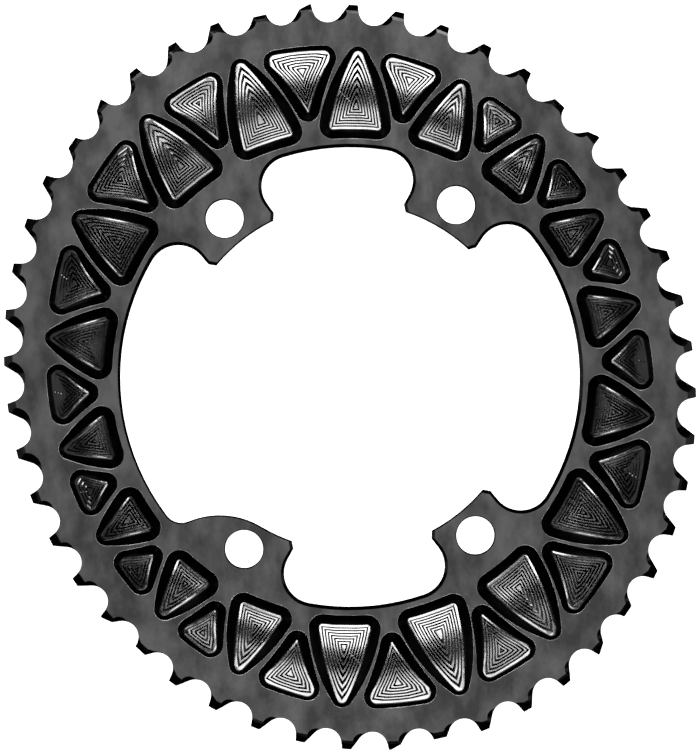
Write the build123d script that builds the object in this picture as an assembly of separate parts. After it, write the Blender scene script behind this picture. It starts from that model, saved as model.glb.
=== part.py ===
from build123d import *
import math
import os

os.makedirs("parts", exist_ok=True)

# Oval outer chainring for a four-arm crank, machined in one piece from aluminium plate.
# It lies on its back face at Z = 0 with the front face up, centred on its bolt circle.
# X and Y run along the short and the long side of the rectangle that the bolts make.
# All sizes are millimetres and degrees, and angles are counted anticlockwise from +X.

# Chain and oval
TEETH = 48
PITCH = 12.7  # half-inch chain
OVALITY = 1.11  # long axis of the pitch curve over its short axis
LONG_AXIS = 108.0  # where the long axis stands

# Plate
BODY = 4.4  # thickness inside the teeth
BLADE = 2.1  # thickness of the teeth, flush with the front face
STEP_IN = 5.6  # from the pitch curve in to where the back steps down
STEP_RUN = 1.8  # width of that step's slope

# Tooth outline
VALLEY = 4.25  # from a roller's centre down to the valley under it
LEAD_SEAT = 4.14  # seat radius under a tooth's leading flank
TRAIL_SEAT = 4.35  # seat radius under its trailing flank
LEAD_LEAN = 10.5  # lean of the leading flank
TRAIL_LEAN = 32.7  # lean of the trailing flank
TIP = 1.09  # height of a full tooth over the chord between its rollers
SHORT_TIP = -0.27  # height of a cut-down tooth
RAMP_TOP = 1.39  # where a ramped tip levels out, from the tooth's middle

# Types of tooth, anticlockwise from the long axis and repeated to fill the ring
# N plain, R raked leading corner, P ramped tip, S short, T short without side chamfer,
# W wide side chamfer
TYPES = "RNPSRRNWWWWNNNPTRRNNNPSR"

# Bevels on the front of the teeth
TIP_EDGE = -1.36  # height at which the tip bevel starts
SHORT_EDGE = -2.1  # the same on a short tooth
TIP_FACET = 0.8  # width of the first, flatter facet
FACET_SLOPE = 18.0
TIP_SLOPE = 33.0
RAKE_SLOPE = 24.0
RAKE_TURN = 27.0  # turn of the raked edge from the tip's
RAKE_START = 0.6  # where the rake starts, from the tooth's middle
SHORT_RAKE_START = 1.63  # the same on a short tooth
SHORT_RAKE_END = -0.92  # and where its second rake starts
BACK_EDGE = -0.2  # height at which the bevel on the back starts
BACK_SLOPE = 22.0
CHAMFER_SLOPE = 30.0
SIDE_CHAMFER = (-3.36, -1.05, 2.55)  # centre and radius of the side chamfer's front edge
WIDE_CHAMFER = (-3.80, -0.20, 4.41)

# Opening and tabs
OPENING = 62.63  # radius
PILOT = 47.45  # radius of the tabs' ends
SCALLOP = 8.22  # radius of the hollows beside the tabs
# Turns from each bolt back and on to the middles of its scallops, None where a hump stands
SCALLOP_TURNS = ((-20.5, 22.2), (-21.4, 21.0), (None, 21.3), (-19.5, 20.5))
END_TAPER = 1.85  # radial length of a tab's narrowed end
CORNER_TURN = 7.9  # from a scallop's middle round to where the narrowing starts
END_TURN = 9.15  # and to where it ends
HUMP = 22.15  # radius of the odd tab's rounded shoulder, which touches the pilot circle
HUMP_TURN = 0.9  # from that tab's bolt to where it touches
HUMP_FILLET = 5.0
EDGE_CHAMFER = 0.85
END_CHAMFER = 0.3  # the same at the tabs' ends

# Bolts
BOLT_CIRCLE = 110.0
BOLT_ANGLE = 55.0  # the four stand 70 and 110 degrees apart
BOLTS = (BOLT_ANGLE, 180 - BOLT_ANGLE, 180 + BOLT_ANGLE, -BOLT_ANGLE)
BOLT_HOLE = 10.4
HOLE_CHAMFER = 0.25

# Pockets: those that point outwards stand at these angles over half a turn, and one that
# points inwards stands between each two
POINTS = (85.2, 65.6, 48.1, 29.6, 11.0, -10.9, -33.7, -54.9, -73.9)
INNER_CORNER = 3.02  # from the opening out to an outward pocket's inner corner points
POINT_CORNER = 3.62  # and to an inward pocket's corner point
OUTER_CORNER = 9.9  # from the pitch curve in to an inward pocket's outer corner points
TIP_CENTRE = 13.3  # from the pitch curve in to the centre of an outward tip's round
CORNER_GAP = 2.9  # turn from an outward tip to its neighbour's corner point
POCKET = 2.6  # depth where the dished floor is lowest
RIM_DEPTH = 0.8  # depth at the outer end
LOW_SHARE = 0.32  # where it is lowest, as a share of the way from the opening to that end
RUN_ON = 0.1  # how far a cutter's walls run on below the floor
WALL_RUN = 2.6  # how far the walls lean in
TIP_FLOOR = 0.35  # floor radius at an outward tip
BASE_FLOOR = 1.24  # floor radius at the inner ends beside it
POINT_FLOOR = 0.6  # floor radius at an inward tip
SHOULDER_FLOOR = 0.8  # floor radius at the outer ends beside it
BULGE = 44.0  # radius of an outward pocket's long sides
HOLLOW = 80.0  # radius of an inward pocket's long sides

CLEAR = 0.3  # how far cutters stand clear of the face that they start from
COVER = 0.7  # share of the pitch that a bevel's cutter spans, over one tooth only
ROUNDS = 12  # of adjustment, each of which leaves far less to adjust


def polar(radius, angle):
    return Vector(radius * math.cos(math.radians(angle)), radius * math.sin(math.radians(angle)))


def on_pitch(short, turn):
    """Point of the pitch curve, from its short semi-axis and a parameter in radians."""
    point = Vector(short * OVALITY * math.cos(turn), short * math.sin(turn))
    return point.rotate(Axis.Z, LONG_AXIS)


def walk(short):
    """Parameters of the rollers, one chord apart, from half a chord past the long axis."""
    turns = [math.asin(PITCH / 2 / short)]
    for _ in range(TEETH):
        here = on_pitch(short, turns[-1])
        stride = PITCH / short
        for _ in range(ROUNDS):
            stride *= PITCH / (on_pitch(short, turns[-1] + stride) - here).length
        turns.append(turns[-1] + stride)
    return turns


def close_pitch():
    """Short semi-axis at which the chords close the ring."""
    short = TEETH * PITCH / (math.pi * (1 + OVALITY))
    for _ in range(ROUNDS):
        turns = walk(short)
        short *= (turns[-1] - turns[0]) / (2 * math.pi)
    return short


SHORT = close_pitch()
LONG = SHORT * OVALITY
rollers = [on_pitch(SHORT, turn) for turn in walk(SHORT)[:TEETH]]


def on_oval(inside, angle):
    """Point at an angle on the oval that lies inside the pitch curve."""
    long, short = LONG - inside, SHORT - inside
    turn = math.radians(angle - LONG_AXIS)
    return polar(long * short / math.hypot(short * math.cos(turn), long * math.sin(turn)), angle)


def arc(centre, radius, first, last):
    """The arc between two directions from a centre, the short way round."""
    middle = (first.normalized() + last.normalized()).normalized()
    ends = [centre + way.normalized() * radius for way in (first, middle, last)]
    return ThreePointArc(*ends)


# Teeth: each stands on the chord between two rollers, with its leading flank clockwise
def tooth_frame(index):
    """Plane on the front face with X clockwise and Y outwards."""
    behind, ahead = rollers[index], rollers[(index + 1) % TEETH]
    clockwise = (behind - ahead).normalized()
    middle = (behind + ahead) * 0.5
    return Plane(origin=(middle.X, middle.Y, BODY), x_dir=clockwise, z_dir=(0, 0, 1))


def valley(index):
    """Lowest point under a roller, and the way out from it."""
    along = rollers[(index + 1) % TEETH] - rollers[index - 1]
    out = along.rotate(Axis.Z, -90).normalized()
    return rollers[index] - out * VALLEY, out


def flank(index, side, height):
    """Seat arc, its end and the tip corner on one side of a tooth, +1 for the leading one."""
    frame = tooth_frame(index)
    radius, lean = (LEAD_SEAT, LEAD_LEAN) if side > 0 else (TRAIL_SEAT, TRAIL_LEAN)
    low, out = valley(index if side > 0 else (index + 1) % TEETH)
    centre = low + out * radius
    rise = frame.y_dir.rotate(Axis.Z, side * lean)
    square = rise.rotate(Axis.Z, side * 90)
    end = centre + square * radius
    base = Vector(frame.origin.X, frame.origin.Y)
    climb = (height - (end - base).dot(frame.y_dir)) / rise.dot(frame.y_dir)
    return arc(centre, radius, out * -1, square), end, end + rise * climb


def tooth_edges(index):
    """Outline of one tooth from valley to valley, anticlockwise."""
    kind = TYPES[index % len(TYPES)]
    low_lead = kind in "ST"
    low_trail = kind in "STP"
    seat, foot, corner = flank(index, 1, SHORT_TIP if low_lead else TIP)
    far_seat, far_foot, far_corner = flank(index, -1, SHORT_TIP if low_trail else TIP)
    top = [corner]
    if kind == "P":
        level = tooth_frame(index).from_local_coords(Vector(RAMP_TOP, TIP, 0))
        top.append(Vector(level.X, level.Y))
    top.append(far_corner)
    path = [foot] + top + [far_foot]
    lines = [Line(one, two) for one, two in zip(path, path[1:])]
    return [seat] + lines + [far_seat]


def blank():
    """Toothed plate, and under it the thicker body, with the opening cut through both."""
    outer = Wire([edge for index in range(TEETH) for edge in tooth_edges(index)])
    toothed = extrude(Face(outer), BLADE).moved(Location((0, 0, BODY - BLADE)))
    turned = Plane.XY.rotated((0, 0, LONG_AXIS))
    narrow = STEP_IN + STEP_RUN
    low = turned * Ellipse(LONG - narrow, SHORT - narrow)
    high = turned.offset(BODY - BLADE) * Ellipse(LONG - STEP_IN, SHORT - STEP_IN)
    return toothed + loft([low.face(), high.face()], ruled=True)


# Opening: the tabs stand between scallops that touch the opening's circle, and every
# outline can be drawn wider, by one amount at the tabs' ends and another elsewhere
def tab_side(scallop, side, wider, end_wider):
    """Start, edges and end of one side of a tab, +1 where the tab is on from its scallop."""
    centre = polar(OPENING - SCALLOP, scallop)
    taper = PILOT + END_TAPER
    spread = math.degrees(wider / taper)
    corner = polar(taper + end_wider, scallop + side * (CORNER_TURN + spread))
    end = polar(PILOT + end_wider, scallop + side * (END_TURN + spread))
    reach = corner - centre
    swing = math.degrees(math.acos((SCALLOP + wider) / reach.length))
    touch = reach.rotate(Axis.Z, -side * swing).normalized()
    hollow = arc(centre, SCALLOP + wider, polar(1, scallop), touch)
    edges = [hollow, Line(centre + touch * (SCALLOP + wider), corner), Line(corner, end)]
    return polar(OPENING + wider, scallop), edges, end


def hump_side(angle, wider):
    """The same for the side with the rounded shoulder, which starts with a fillet."""
    crown = polar(PILOT + HUMP, angle)
    reach, span = OPENING - HUMP_FILLET, HUMP + HUMP_FILLET
    spread = (crown.length**2 + reach**2 - span**2) / (2 * crown.length * reach)
    start = angle - math.degrees(math.acos(spread))
    fillet = polar(reach, start)
    edges = [
        arc(fillet, HUMP_FILLET + wider, fillet, crown - fillet),
        arc(crown, HUMP - wider, fillet - crown, crown * -1),
    ]
    return polar(OPENING + wider, start), edges, polar(PILOT + wider, angle)


def rim_arc(start, end):
    """Arc round the ring's middle between two points, whose radii may differ a little."""
    way = (start.normalized() + end.normalized()).normalized()
    return ThreePointArc(start, way * (start.length + end.length) * 0.5, end)


def opening(wider=0.0, end_wider=0.0):
    """Face of the opening, round which the tabs' ends and the opening's arcs alternate."""
    sides = []
    for bolt, (back, on) in zip(BOLTS, SCALLOP_TURNS):
        if back is None:
            sides.append(hump_side(bolt + HUMP_TURN, end_wider))
        else:
            sides.append(tab_side(bolt + back, 1, wider, end_wider))
        sides.append(tab_side(bolt + on, -1, wider, end_wider))
    edges = []
    for spot, (start, side_edges, end) in enumerate(sides):
        next_start, _, next_end = sides[(spot + 1) % len(sides)]
        edges += side_edges
        edges.append(rim_arc(end, next_end) if spot % 2 == 0 else rim_arc(start, next_start))
    return Face(Wire(edges))


def opening_cutter():
    """The opening, with its chamfered front edge."""
    widen = 1 + CLEAR / EDGE_CHAMFER
    low = Pos(0, 0, BODY - EDGE_CHAMFER) * opening()
    high = Pos(0, 0, BODY + CLEAR) * opening(EDGE_CHAMFER * widen, END_CHAMFER * widen)
    return [Pos(0, 0, -CLEAR) * extrude(opening(), BODY + 2 * CLEAR), loft([low, high], ruled=True)]


def bolt_cutters(angle):
    """Bolt hole, with a small chamfer at both faces."""
    spot = polar(BOLT_CIRCLE / 2, angle)
    shank = Pos(0, 0, BODY / 2) * Cylinder(BOLT_HOLE / 2, BODY + 2 * CLEAR)
    grow = HOLE_CHAMFER + CLEAR
    upright = (Align.CENTER, Align.CENTER, Align.MIN)
    mouth = Cone(BOLT_HOLE / 2, BOLT_HOLE / 2 + grow, grow, align=upright)
    front = Pos(0, 0, BODY - HOLE_CHAMFER) * mouth
    back = Pos(0, 0, HOLE_CHAMFER) * Rot(180, 0, 0) * mouth
    return [Pos(spot.X, spot.Y) * cutter for cutter in (shank, front, back)]


# Bevels: cutters in a tooth's frame, whose lower side is the plane that they leave
def plane_off(across, height, turn, slope, drop=0.0):
    """Block that planes the face down beyond an edge through a point, turned clockwise."""
    block = Box(PITCH * COVER, PITCH / 2, BODY, align=(Align.CENTER, Align.MIN, Align.MIN))
    return Pos(across, height, -drop) * Rot(0, 0, -turn) * Rot(-slope, 0, 0) * block


def chamfer_cone(across, height, radius):
    """Cone that chamfers a flank, with its front edge on the face."""
    fall = math.tan(math.radians(CHAMFER_SLOPE))
    cone = Cone(0, radius + CLEAR / fall, radius * fall + CLEAR, align=(Align.CENTER, Align.CENTER, Align.MAX))
    return Pos(across, height, CLEAR) * cone


def tooth_cutters(kind):
    """Everything that is cut from the front and back of one type of tooth."""
    edge = SHORT_EDGE if kind in "ST" else TIP_EDGE
    facet_drop = TIP_FACET * math.tan(math.radians(FACET_SLOPE))
    cutters = [
        plane_off(0, edge, 0, FACET_SLOPE),
        plane_off(0, edge + TIP_FACET, 0, TIP_SLOPE, facet_drop),
        Pos(0, 0, -BLADE) * Rot(0, 180, 0) * plane_off(0, BACK_EDGE, 0, BACK_SLOPE),
    ]
    if kind in "RST":
        across = RAKE_START if kind == "R" else SHORT_RAKE_START
        cutters.append(plane_off(across, edge, RAKE_TURN, RAKE_SLOPE))
    if kind in "ST":
        cutters.append(plane_off(SHORT_RAKE_END, edge, -RAKE_TURN, RAKE_SLOPE))
    if kind in "NRPS":
        cutters.append(chamfer_cone(*SIDE_CHAMFER))
    if kind == "W":
        cutters.append(chamfer_cone(*WIDE_CHAMFER))
    return cutters


# Pockets: three rounds joined by arcs that touch them, with walls that lean in to the floor
def corner_round(vertex, one, other, radius):
    """Round that touches the two headings that leave a corner point."""
    half = math.radians(one.get_angle(other) / 2)
    middle = (one.normalized() + other.normalized()).normalized()
    return vertex + middle * (radius / math.sin(half)), radius


def side_centre(one, two, radius):
    """Centre of the arc that touches two rounds from outside them, hollow where negative."""
    (start, small), (end, other) = one, two
    along = end - start
    near, far = radius - small, radius - other
    foot = (near**2 - far**2 + along.length**2) / (2 * along.length)
    height = math.copysign(math.sqrt(near**2 - foot**2), radius)
    ahead = along.normalized()
    return start + ahead * foot + ahead.rotate(Axis.Z, 90) * height


def pocket_face(rounds, sides, inset):
    """Pocket outline drawn in by an inset, from its rounds and side radii, anticlockwise."""
    count = len(rounds)
    centres = [side_centre(rounds[k], rounds[(k + 1) % count], sides[k]) for k in range(count)]
    edges = []
    for k in range(count):
        middle, radius = centres[k], sides[k]
        (here, small), (there, other) = rounds[k], rounds[(k + 1) % count]
        leave = (here - middle) * (1 / (radius - small))
        meet = (there - middle) * (1 / (radius - other))
        edges.append(arc(middle, radius - inset, leave, meet))
        after = (there - centres[(k + 1) % count]) * (1 / (sides[(k + 1) % count] - other))
        edges.append(arc(there, other - inset, meet, after))
    return Face(Wire(edges))


def pocket_cutter(rounds, sides, angle):
    """Leaning walls down to a floor that is dished, as a trough across the pocket."""
    lean = WALL_RUN / POCKET
    below = POCKET + RUN_ON
    mouth = Pos(0, 0, BODY + CLEAR) * pocket_face(rounds, sides, -CLEAR * lean)
    foot = Pos(0, 0, BODY - below) * pocket_face(rounds, sides, below * lean)
    rim = on_oval(TIP_CENTRE - TIP_FLOOR - WALL_RUN, angle).length
    low = OPENING + (rim - OPENING) * LOW_SHARE
    rise = POCKET - RIM_DEPTH
    radius = ((rim - low) ** 2 + rise**2) / (2 * rise)
    trough = Rot(90, 0, 0) * Cylinder(radius, OPENING)
    place = Rot(0, 0, angle) * Pos(low, 0, BODY - POCKET + radius)
    return loft([foot, mouth], ruled=True) & place * trough


def outward_pocket(angle, left, right):
    """Pocket that points outwards, between inner corner points at two angles."""
    tip = on_oval(TIP_CENTRE, angle)
    radius = TIP_FLOOR + WALL_RUN
    start, end = (polar(OPENING + INNER_CORNER, foot) for foot in (left, right))
    swings = [math.degrees(math.asin(radius / (tip - foot).length)) for foot in (start, end)]
    rise = (tip - start).rotate(Axis.Z, swings[0])
    fall = (tip - end).rotate(Axis.Z, -swings[1])
    rounds = [
        (tip, radius),
        corner_round(start, rise, end - start, BASE_FLOOR + WALL_RUN),
        corner_round(end, fall, start - end, BASE_FLOOR + WALL_RUN),
    ]
    return pocket_cutter(rounds, [BULGE, -OPENING, BULGE], angle)


def inward_pocket(angle, left, right):
    """Pocket that points inwards, between outward tips at two angles."""
    corners = [
        polar(OPENING + POINT_CORNER, angle),
        on_oval(OUTER_CORNER, right + CORNER_GAP),
        on_oval(OUTER_CORNER, left - CORNER_GAP),
    ]
    radii = [POINT_FLOOR + WALL_RUN] + 2 * [SHOULDER_FLOOR + WALL_RUN]
    rounds = []
    for k in range(3):
        here, after, before = corners[k], corners[(k + 1) % 3], corners[k - 1]
        rounds.append(corner_round(here, after - here, before - here, radii[k]))
    return pocket_cutter(rounds, [-HOLLOW, SHORT, -HOLLOW], angle)


def pockets():
    """All pockets: half a turn of them, and the same again across the centre."""
    tips = POINTS + (POINTS[0] - 180,)
    between = [(one + two) / 2 for one, two in zip(tips, tips[1:])]
    feet = [between[-1] + 180] + between
    half = []
    for spot, angle in enumerate(POINTS):
        half.append(outward_pocket(angle, feet[spot], feet[spot + 1]))
        half.append(inward_pocket(between[spot], tips[spot], tips[spot + 1]))
    return half + [pocket.rotate(Axis.Z, 180) for pocket in half]


# Assembly of the cuts
holes = [cutter for angle in BOLTS for cutter in bolt_cutters(angle)]
bevels = []
for index in range(TEETH):
    place = tooth_frame(index).location
    bevels += [place * cutter for cutter in tooth_cutters(TYPES[index % len(TYPES)])]
ring = blank() - opening_cutter() - holes - bevels - pockets()

export_step(ring, "parts/chainring.step")
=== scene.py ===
import bmesh
import bpy
import math
from mathutils import Matrix, Vector, geometry


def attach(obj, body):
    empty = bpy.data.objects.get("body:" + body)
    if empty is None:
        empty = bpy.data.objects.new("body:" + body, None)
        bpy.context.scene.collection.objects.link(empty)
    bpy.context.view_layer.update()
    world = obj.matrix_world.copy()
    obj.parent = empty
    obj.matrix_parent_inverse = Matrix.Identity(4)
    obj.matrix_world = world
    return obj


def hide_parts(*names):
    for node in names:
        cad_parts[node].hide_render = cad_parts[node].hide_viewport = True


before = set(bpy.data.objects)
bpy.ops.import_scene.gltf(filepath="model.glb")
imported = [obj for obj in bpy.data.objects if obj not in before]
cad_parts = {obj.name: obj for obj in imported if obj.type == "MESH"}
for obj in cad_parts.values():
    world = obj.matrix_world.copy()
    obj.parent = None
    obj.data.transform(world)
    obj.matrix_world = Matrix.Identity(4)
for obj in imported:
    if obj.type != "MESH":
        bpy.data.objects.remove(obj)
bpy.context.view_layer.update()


# The ring: an oval outer chainring, milled in one piece from aluminium plate. Its front and
# back were faced and blasted with beads, and the cutters left soft edges at the pockets'
# mouths and a small hollow where each pocket's wall meets its floor.
MM = 0.001
FRONT = 4.4 * MM
SHALLOWEST = 0.6 * MM  # less than any part of a pocket's floor lies below the front
OPENING_EDGE = 64.2 * MM  # radius beyond which every mouth belongs to a pocket
RIM_ROUND = 0.07 * MM  # under half of the thinnest rib's width
FOOT_ROUND = 0.3 * MM  # of the hollow between a wall and its floor
LEVEL = 0.9999  # the upward part of a face's normal is over this on the front,
FLOOR_TILT = 0.96  # over this on the dished floors,
WALL_TILTS = 0.6, 0.8  # between these on the walls, which lean at 45 degrees,
BACK_TILT = -0.999  # and no more than this on the back
NEAR = 0.01 * MM  # heights and places closer than this count as the same
WELD = 0.002 * MM  # corners closer than this are one corner
FLAT = math.radians(0.5)  # faces that turn less than this are one face
BLASTED, MILLED, WALL, FOOT, BED, PAINTED_RIM_HIGHLIGHT = range(6)  # places of the materials on the ring


def surface(face):
    """Front face, pocket floor, leaning wall or anything else, told by height and tilt."""
    up, height = face.normal.z, face.calc_center_median().z
    if up > LEVEL and height > FRONT - NEAR:
        return "front"
    if up > FLOOR_TILT and height < FRONT - SHALLOWEST:
        return "floor"
    return "wall" if WALL_TILTS[0] < up < WALL_TILTS[1] else "other"


def pick_edges(obj, surfaces, reach=0.0):
    """Selects the edges at which surfaces of two kinds meet, outside a radius."""
    mesh = bmesh.from_edit_mesh(obj.data)
    for edge in mesh.edges:
        met = {surface(face) for face in edge.link_faces}
        edge.select_set(met == surfaces and edge.verts[0].co.xy.length > reach)
    mesh.select_flush(False)
    bmesh.update_edit_mesh(obj.data)


def pick_faces(obj, test):
    """Selects the faces that pass a test."""
    mesh = bmesh.from_edit_mesh(obj.data)
    for face in mesh.faces:
        face.select_set(test(face))
    mesh.select_flush(False)
    bmesh.update_edit_mesh(obj.data)


def give(obj, place, test):
    """Gives the faces that pass a test the material at a place."""
    pick_faces(obj, test)
    obj.active_material_index = place
    bpy.ops.object.material_slot_assign()


def only(obj):
    """Selects one object and makes it the active one."""
    bpy.ops.object.select_all(action="DESELECT")
    obj.select_set(True)
    bpy.context.view_layer.objects.active = obj


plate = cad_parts["chainring"]
only(plate)
bpy.ops.object.duplicate()
ring = bpy.context.object
ring.name = ring.data.name = "ring"
ring.data.materials.clear()
for place in ("blasted", "milled", "wall", "foot", "bed", "rim_highlight"):
    ring.data.materials.append(bpy.data.materials.new(place))
bpy.ops.object.mode_set(mode="EDIT")
bpy.ops.mesh.select_all(action="SELECT")
bpy.ops.mesh.customdata_custom_splitnormals_clear()
bpy.ops.mesh.remove_doubles(threshold=WELD)
bpy.ops.mesh.dissolve_limited(angle_limit=FLAT)
bpy.ops.mesh.select_mode(type="FACE")
give(ring, MILLED, lambda face: surface(face) != "front" and face.normal.z > BACK_TILT)
# The walls get the much darker wall colour, which is painted shade in the pockets.
give(ring, WALL, lambda face: surface(face) == "wall"
     and face.calc_center_median().xy.length > OPENING_EDGE)
give(ring, BED, lambda face: surface(face) == "floor")
bpy.ops.mesh.select_mode(type="EDGE")
# The hollows where walls meet floors are rounded, and their slot later takes the walls' painted
# shade.
pick_edges(ring, {"floor", "wall"})
bpy.ops.mesh.bevel(offset=FOOT_ROUND, segments=4, material=FOOT, clamp_overlap=False)
# The pockets' rims are rounded and given the light rim colour, a painted highlight.
pick_edges(ring, {"front", "wall"}, OPENING_EDGE)
bpy.ops.mesh.bevel(offset=RIM_ROUND, segments=3, material=PAINTED_RIM_HIGHLIGHT, clamp_overlap=False)


# Pocket floors: milled along lines that follow the pocket's outline and step in towards its
# middle, so a thin cusp of metal stands between each pass and the next. Where the cutter
# stepped in from one line to the next it cut a notch through them, seen as a seam.
PASS = 0.75 * MM  # from one cusp to the next
FLANK = 0.22 * MM  # from a cusp's crest to its foot, seen from above
CREST = 0.13 * MM  # the height of a cusp
LONGEST = 1.2 * MM  # edges round a floor that are longer are cut in three
ROUND_EDGE = 0.4 * MM  # those of the first pass that are shorter belong to a rounded corner
CORNER_REACH = 1 * MM  # the farthest that a sharp corner is from the round that it replaces
SEAM = 0.16 * MM  # from the middle of the seam to its edge
SEAM_TURN_OUT = math.radians(46)  # of the seam from the way out, in pockets that point out
SEAM_TURN_IN = math.radians(-17)  # and in those that point in
FIRST_STRIDE = 2 * MM  # of the search for a floor's widest circle
FLOOR_WELD = 0.001 * MM  # corners of a floor and of the ring closer than this are one
SMOOTH = math.radians(12)  # edges that turn less than this are shaded smooth

mesh = bmesh.from_edit_mesh(ring.data)
for edge in mesh.edges:
    sides = {face.material_index for face in edge.link_faces}
    edge.select_set(sides == {BED, FOOT} and edge.calc_length() > LONGEST)
bmesh.update_edit_mesh(ring.data)
bpy.ops.mesh.subdivide(number_cuts=2)
bpy.ops.mesh.select_mode(type="FACE")
pick_faces(ring, lambda face: face.material_index == BED)
bpy.ops.mesh.separate(type="SELECTED")
bpy.ops.object.mode_set(mode="OBJECT")
floors = [obj for obj in bpy.context.selected_objects if obj != ring][0]
only(floors)
bpy.ops.object.mode_set(mode="EDIT")
bpy.ops.mesh.select_all(action="SELECT")
bpy.ops.mesh.separate(type="LOOSE")
bpy.ops.object.mode_set(mode="OBJECT")
beds = list(bpy.context.selected_objects)


def widest_circle(outline):
    """Centre and radius of the largest circle that lies in an outline."""
    sides = [(one, two) for one, two in zip(outline, outline[1:] + outline[:1]) if one != two]

    def room(spot):
        gaps = []
        for one, two in sides:
            along = two - one
            share = (spot - one).dot(along) / along.length_squared
            gaps.append((one + along * min(max(share, 0), 1) - spot).length)
        return min(gaps)

    centre = sum(outline, Vector((0, 0))) / len(outline)
    stride = FIRST_STRIDE
    while stride > NEAR:
        tries = [centre + Vector((x, y)) * stride for x in (0, -1, 1) for y in (0, -1, 1)]
        best = max(tries, key=room)
        if best == tries[0]:
            stride /= 2
        centre = best
    return centre, room(centre)


def pick_open(bed, longest=math.inf):
    """Selects the innermost line, of which each edge has one face, or its short edges."""
    mesh = bmesh.from_edit_mesh(bed.data)
    for edge in mesh.edges:
        edge.select_set(edge.is_boundary and not edge.seam and edge.calc_length() < longest)
    mesh.select_flush(False)
    bmesh.update_edit_mesh(bed.data)


def sharpen(bed):
    """Turns each corner of the innermost line that is rounded by short edges into a sharp one."""
    pick_open(bed, ROUND_EDGE)
    bpy.ops.mesh.select_mode(type="VERT")
    bpy.ops.mesh.merge(type="COLLAPSE")
    mesh = bmesh.from_edit_mesh(bed.data)
    mesh.verts.index_update()
    moves = []
    for corner in mesh.verts:
        if corner.select:
            line = []
            for edge in corner.link_edges:
                if edge.is_boundary:
                    near = edge.other_vert(corner)
                    on = [other for other in near.link_edges if other.is_boundary and other != edge]
                    line += [on[0].other_vert(near).co.xy.to_3d(), near.co.xy.to_3d()]
            meet = geometry.intersect_line_line(*line)
            if meet:
                move = meet[0] - corner.co.xy.to_3d()
                move.length = min(move.length, CORNER_REACH)
                moves.append((corner.index, move))
    for index, move in moves:
        bpy.ops.mesh.select_all(action="DESELECT")
        mesh = bmesh.from_edit_mesh(bed.data)
        mesh.verts.ensure_lookup_table()
        mesh.verts[index].select_set(True)
        bpy.ops.transform.translate(value=move)
    bpy.ops.mesh.select_mode(type="EDGE")


def cut_seam(bed, centre, outline):
    """Cuts the cusps through along the line on which the cutter stepped in."""
    out = centre.normalized()
    reach = [(point - centre).dot(out) for point in outline]
    turn = SEAM_TURN_OUT if max(reach) > -min(reach) else SEAM_TURN_IN
    middle = centre.to_3d()
    way = Matrix.Rotation(turn, 3, "Z") @ out.to_3d()
    across = way.cross(Vector((0, 0, 1)))
    for shift in (-SEAM, 0, SEAM):
        pick_faces(bed, lambda face: (face.calc_center_median() - middle).dot(way) > 0
                   and not any(edge.seam for edge in face.edges))
        bpy.ops.mesh.bisect(plane_co=middle + across * shift, plane_no=across)
    bpy.ops.mesh.select_mode(type="VERT")
    mesh = bmesh.from_edit_mesh(bed.data)
    for vert in mesh.verts:
        spot = vert.co - middle
        vert.select_set(abs(spot.dot(across)) < NEAR and spot.dot(way) > 0)
    mesh.select_flush(True)
    bmesh.update_edit_mesh(bed.data)
    bpy.ops.object.vertex_group_remove_from()


def hollow_out(bed, centre):
    """Lays the passes on an even dish: the parabola that fits the outline of the bed best."""
    out = centre.normalized()
    mesh = bmesh.from_edit_mesh(bed.data)
    reach = max((vert.co.xy - centre).length for vert in mesh.verts)

    def terms(spot):
        along = (spot.xy - centre).dot(out) / reach
        return Vector((1, along, along * along, (spot.xy - centre).cross(out) / reach))

    rim = [vert for vert in mesh.verts if vert.is_boundary]
    rows = range(len(terms(rim[0].co)))
    sums = Matrix([[sum(terms(vert.co)[i] * terms(vert.co)[j] for vert in rim)
                    for j in rows] for i in rows])
    heights = Vector([sum(terms(vert.co)[i] * vert.co.z for vert in rim) for i in rows])
    dish = sums.inverted() @ heights
    for vert in mesh.verts:
        if not vert.is_boundary:
            vert.co.z = dish.dot(terms(vert.co))
    bmesh.update_edit_mesh(bed.data)


for bed in beds:
    only(bed)
    bpy.ops.object.mode_set(mode="EDIT")
    bpy.ops.mesh.select_mode(type="FACE")
    bpy.ops.mesh.select_all(action="SELECT")
    bpy.ops.mesh.dissolve_faces()
    mesh = bmesh.from_edit_mesh(bed.data)
    outline = [vert.co.xy.copy() for face in mesh.faces for vert in face.verts]
    centre, radius = widest_circle(outline)
    bpy.ops.mesh.delete(type="ONLY_FACE")
    bpy.ops.mesh.select_mode(type="EDGE")
    bpy.ops.mesh.select_all(action="SELECT")
    bpy.ops.mesh.mark_seam(clear=False)
    bed.vertex_groups.new(name="cusp")
    pivot = (centre.x, centre.y, 0)
    scale = 1.0
    for count in range(1, int((radius - FLANK) / PASS) + 1):
        for depth, raised in ((-FLANK, False), (0, True), (FLANK, False)):
            smaller = 1 - (count * PASS + depth) / radius
            bpy.ops.mesh.extrude_region_move()
            bpy.ops.mesh.mark_seam(clear=True)
            bpy.ops.transform.resize(
                value=(smaller / scale, smaller / scale, 1), center_override=pivot)
            scale = smaller
            if count == 1 and depth < 0:
                sharpen(bed)
                pick_open(bed)
            if raised:
                bpy.ops.object.vertex_group_assign()
            else:
                bpy.ops.object.vertex_group_remove_from()
    bpy.ops.mesh.edge_face_add()
    bpy.ops.mesh.select_mode(type="FACE")
    give(bed, BED, lambda face: True)
    cut_seam(bed, centre, outline)
    hollow_out(bed, centre)
    bpy.ops.object.mode_set(mode="OBJECT")

bpy.ops.object.select_all(action="DESELECT")
for bed in beds:
    bed.select_set(True)
bpy.context.view_layer.objects.active = beds[0]
bpy.ops.object.join()
floors = bpy.context.object
lift = floors.modifiers.new("raised", "DISPLACE")
lift.direction = "Z"
lift.mid_level = 0
lift.strength = CREST
lift.vertex_group = "cusp"
bpy.ops.object.modifier_apply(modifier="raised")
floors.vertex_groups.clear()

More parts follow.
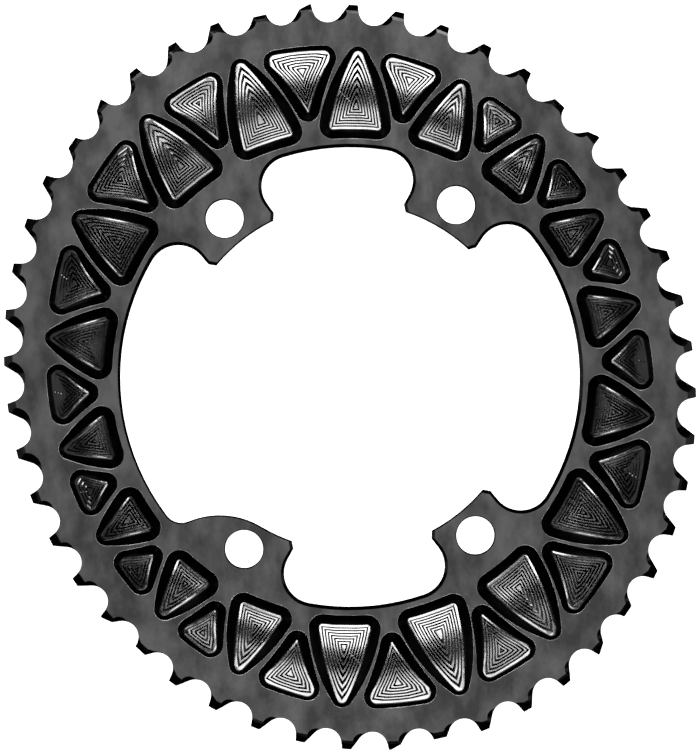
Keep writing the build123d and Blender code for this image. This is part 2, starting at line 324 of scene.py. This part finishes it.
ring.select_set(True)
bpy.context.view_layer.objects.active = ring
bpy.ops.object.join()
bpy.ops.object.mode_set(mode="EDIT")
bpy.ops.mesh.select_mode(type="FACE")
bpy.ops.mesh.select_all(action="SELECT")
bpy.ops.mesh.mark_seam(clear=True)
bpy.ops.mesh.remove_doubles(threshold=FLOOR_WELD)
bpy.ops.mesh.normals_make_consistent(inside=False)
bpy.ops.object.mode_set(mode="OBJECT")
bpy.ops.object.shade_smooth_by_angle(angle=SMOOTH)
even = ring.modifiers.new("even", "WEIGHTED_NORMAL")
even.keep_sharp = True
bpy.ops.object.modifier_apply(modifier="even")


def linear(code):
    """An sRGB colour as hex, turned linear."""
    parts = [int(code[k:k + 2], 16) / 255 for k in (1, 3, 5)]
    return tuple(p / 12.92 if p <= 0.04045 else ((p + 0.055) / 1.055) ** 2.4 for p in parts) + (1,)


def node(material, kind, settings=None, links=None):
    """Adds a node to a material, sets its inputs or fields, and links other nodes into it."""
    made = material.node_tree.nodes.new(kind)
    for name, value in (settings or {}).items():
        if name in made.inputs:
            made.inputs[name].default_value = value
        else:
            setattr(made, name, value)
    for name, source in (links or {}).items():
        material.node_tree.links.new(source, made.inputs[name])
    return made


def finish(name, dark, light, rough, patch, grain, depth):
    """An anodised finish: two shades in patches, and a grain that roughens and dents it.

    rough is the least and the most roughness. patch and grain are sizes along X, Y and Z
    in millimetres, and depth is how deep the grain is, in millimetres too.
    """
    made = bpy.data.materials.new(name)
    made.use_nodes = True
    made.node_tree.nodes.clear()
    place = node(made, "ShaderNodeTexCoord").outputs["Object"]

    def texture(size, detail):
        spread = node(made, "ShaderNodeMapping", {
            "Scale": [1000 / mm for mm in size]}, {"Vector": place})
        return node(made, "ShaderNodeTexNoise", {
            "Scale": 1.0, "Detail": detail, "Roughness": 0.6},
            {"Vector": spread.outputs["Vector"]}).outputs[0]

    patches = texture(patch, 3.0)
    grains = texture(grain, 2.0)
    spotted = node(made, "ShaderNodeMapRange", {
        "From Min": 0.35, "From Max": 0.65}, {"Value": patches})
    shade = node(made, "ShaderNodeMixRGB", {
        "Color1": linear(dark), "Color2": linear(light)}, {"Fac": spotted.outputs["Result"]})
    uneven = node(made, "ShaderNodeMapRange", {
        "From Min": 0.3, "From Max": 0.7, "To Min": rough[0], "To Max": rough[1]},
        {"Value": grains})
    dents = node(made, "ShaderNodeBump", {
        "Strength": 1.0, "Distance": depth * MM}, {"Height": grains})
    skin = node(made, "ShaderNodeBsdfPrincipled", {"Metallic": 1.0}, {
        "Base Color": shade.outputs["Color"], "Roughness": uneven.outputs["Result"],
        "Normal": dents.outputs["Normal"]})
    node(made, "ShaderNodeOutputMaterial", {}, {"Surface": skin.outputs["BSDF"]})
    return made


# Front and back: blasted with beads before the black anodising, so dull, and slightly cloudy
# in soft patches that run up and down the sheet that the blank was rolled as. The beads'
# dents are 0.1 mm across, too fine to show, so they are drawn at 0.35 mm.
ring.data.materials[BLASTED] = finish(
    "blasted_anodised_aluminium", "#232323", "#373737", (0.4, 0.5),
    (7, 12, 12), (0.35, 0.35, 0.35), 0.003)
# Teeth, bevels and holes: turned and milled, then anodised black as they were, so they
# mirror clearly, with faint marks of the tool 0.3 mm apart through the thickness.
ring.data.materials[MILLED] = finish(
    "milled_anodised_aluminium", "#303030", "#404040", (0.13, 0.2),
    (3, 3, 3), (2, 2, 0.3), 0.002)
# Pocket walls: cut by the side of a tapered cutter, which leaves level ribs 0.2 mm apart.
# They and the rounded feet below them are coloured much darker than the floors, as painted shade.
ring.data.materials[WALL] = finish(
    "side_milled_anodised_aluminium_painted_shade", "#141414", "#202020", (0.16, 0.24),
    (4, 4, 4), (3, 3, 0.2), 0.002)
# Pocket floors: cut by the cutter's end, the clearest mirror here. The cusps are in the
# mesh. The lines between them are too fine to show, so they are a faint 0.5 mm grain.
ring.data.materials[BED] = finish(
    "end_milled_anodised_aluminium", "#4A4A4A", "#585858", (0.1, 0.16),
    (5, 5, 5), (0.5, 0.5, 0.5), 0.0002)
ring.data.materials[FOOT] = ring.data.materials[WALL]
# Rims of the pockets: their rounded edges are coloured light grey in stretches a few millimetres
# long, a painted highlight where the sharp edges catch the light.
ring.data.materials[PAINTED_RIM_HIGHLIGHT] = finish(
    "rim_highlight_anodised_aluminium", "#3A3A3A", "#808080", (0.25, 0.4),
    (4, 4, 4), (0.5, 0.5, 0.5), 0.002)
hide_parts("chainring")
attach(ring, "root")


# Floor: the white sheet of paper that the ring lies on. It glows a little, so that it is as
# white as in the photograph, and it isn't seen in the ring, which mirrors the lights alone.
SHEET = 3.0  # the length of its sides
bpy.ops.mesh.primitive_plane_add(size=SHEET, location=(0, 0, 0))
floor = bpy.context.object
floor.name = "floor"
sheet = bpy.data.materials.new("white_sheet")
sheet.use_nodes = True
sheet.node_tree.nodes.clear()
paper = node(sheet, "ShaderNodeBsdfPrincipled", {
    "Base Color": linear("#F4F4F4"), "Roughness": 0.9,
    "Emission Color": linear("#FFFFFF"), "Emission Strength": 0.9})
node(sheet, "ShaderNodeOutputMaterial", {}, {"Surface": paper.outputs["BSDF"]})
floor.data.materials.append(sheet)
floor.visible_glossy = False


# Lights and camera: soft boxes over the ring's upper and lower side, with a dark gap right
# above between them, and a dim box at the left and the right. The camera looks straight
# down at the front face, turned as the photograph is.
BOX_DISTANCE = 1.1
CAMERA_HEIGHT = 1.5  # over the front face
SENSOR = 36.0  # the sensor's longer side in millimetres, which is the picture's height
SEEN_HEIGHT = 0.20511  # of the front face's plane, from the picture's bottom to its top
TURN = math.radians(-3.37)


def softbox(name, low, high, left, right, radiance):
    """Adds a light that the ring sees between two angles each way, in degrees from vertical.

    low and high lean towards +Y, left and right towards +X, and radiance is its brightness.
    """
    middle = math.radians((low + high) / 2)
    turn = math.radians((left + right) / 2)
    way = Vector((math.tan(turn), math.tan(middle), 1)).normalized()
    bpy.ops.object.light_add(type="AREA", location=way * BOX_DISTANCE)
    lamp = bpy.context.object
    lamp.name = name
    lamp.data.shape = "RECTANGLE"
    lamp.data.size = 2 * BOX_DISTANCE * math.tan(math.radians((right - left) / 2))
    lamp.data.size_y = 2 * BOX_DISTANCE * math.tan(math.radians((high - low) / 2))
    lamp.data.energy = radiance * math.pi * lamp.data.size * lamp.data.size_y
    lamp.rotation_euler = way.to_track_quat("Z", "Y").to_euler()
    lamp.visible_camera = False


softbox("key_inner", 4, 10, -3, 3, 14)
softbox("key_middle", 10, 20, -8, 7, 14)
softbox("key_outer", 20, 42, -22, 18, 11)
softbox("low_inner", -12, -4, -3, 3, 26)
softbox("low_middle", -20, -12, -8, 9, 16)
softbox("low_outer", -35, -20, -18, 20, 5)
softbox("left_wall", -40, 40, -66, -44, 0.4)
softbox("right_wall", -40, 40, 44, 66, 0.4)

world = bpy.data.worlds.new("studio")
bpy.context.scene.world = world
world.use_nodes = True
world.node_tree.nodes["Background"].inputs["Color"].default_value = linear("#050505")
world.node_tree.nodes["Background"].inputs["Strength"].default_value = 1.0

bpy.ops.object.camera_add(location=(0, 0, CAMERA_HEIGHT + FRONT))
camera = bpy.context.object
camera.data.sensor_width = SENSOR
camera.data.lens = SENSOR * CAMERA_HEIGHT / SEEN_HEIGHT
camera.rotation_euler = (0, 0, TURN)
bpy.context.scene.camera = camera
bpy.context.scene.view_settings.view_transform = "Standard"
